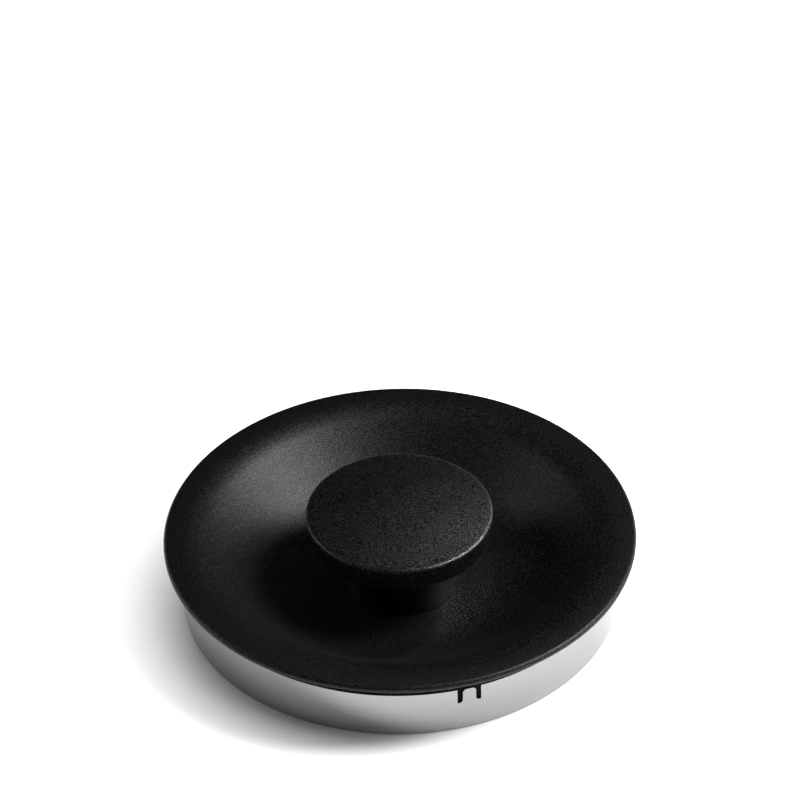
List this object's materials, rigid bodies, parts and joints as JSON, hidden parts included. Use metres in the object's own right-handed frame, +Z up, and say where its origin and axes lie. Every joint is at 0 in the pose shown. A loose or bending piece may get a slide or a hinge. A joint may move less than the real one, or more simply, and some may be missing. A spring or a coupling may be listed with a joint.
{
  "type": "waste inlet lid",
  "caption": "Round stainless collar with spring tabs and a dished black lift-off lid with a wide mushroom knob, for the mouth of a kitchen waste container.",
  "frame": {"origin": "middle of the collar's foot, on the plane that the collar stands on", "axes": "+Z up along the axis of the lid, knob and collar; -Y is the side with the front spring tab"},
  "size_m": [0.2, 0.2, 0.0441],
  "materials": {
    "brushed_steel": "fine horizontal brushing, satin",
    "grained_plastic": "fine moulded grain, matt black",
    "knob_plastic": "coarser moulded grain, matt black",
    "satin_plastic": "smooth satin black",
    "liner_plastic": "satin black",
    "base_plastic": "satin black",
    "silicone": "soft matt black",
    "fastener_steel": "plain stainless",
    "brass": "knurled brass"
  },
  "bodies": {
    "collar": {"steel_collar": "brushed_steel", "collar_liner": "liner_plastic"},
    "lid": {"lid_dish": "grained_plastic", "lid_base": "base_plastic", "base_outer_gasket": "silicone", "base_inner_gasket": "silicone", "base_inserts": "brass", "base_screws": "fastener_steel", "lid_seal": "silicone", "knob_stem": "satin_plastic", "stem_gasket": "silicone", "knob_cap": "knob_plastic", "cap_underplate": "base_plastic", "cap_screws": "fastener_steel", "cap_insert": "brass", "sealing_washer": "silicone", "plain_washer": "fastener_steel", "spring_washer": "fastener_steel", "knob_bolt": "fastener_steel", "bolt_plug": "base_plastic"}
  },
  "joints": [
    {"name": "lid_lift", "type": "slide", "parent": "collar", "child": "lid", "axis": [0, 0, 1], "range_m": [0, 0.06]}
  ]
}
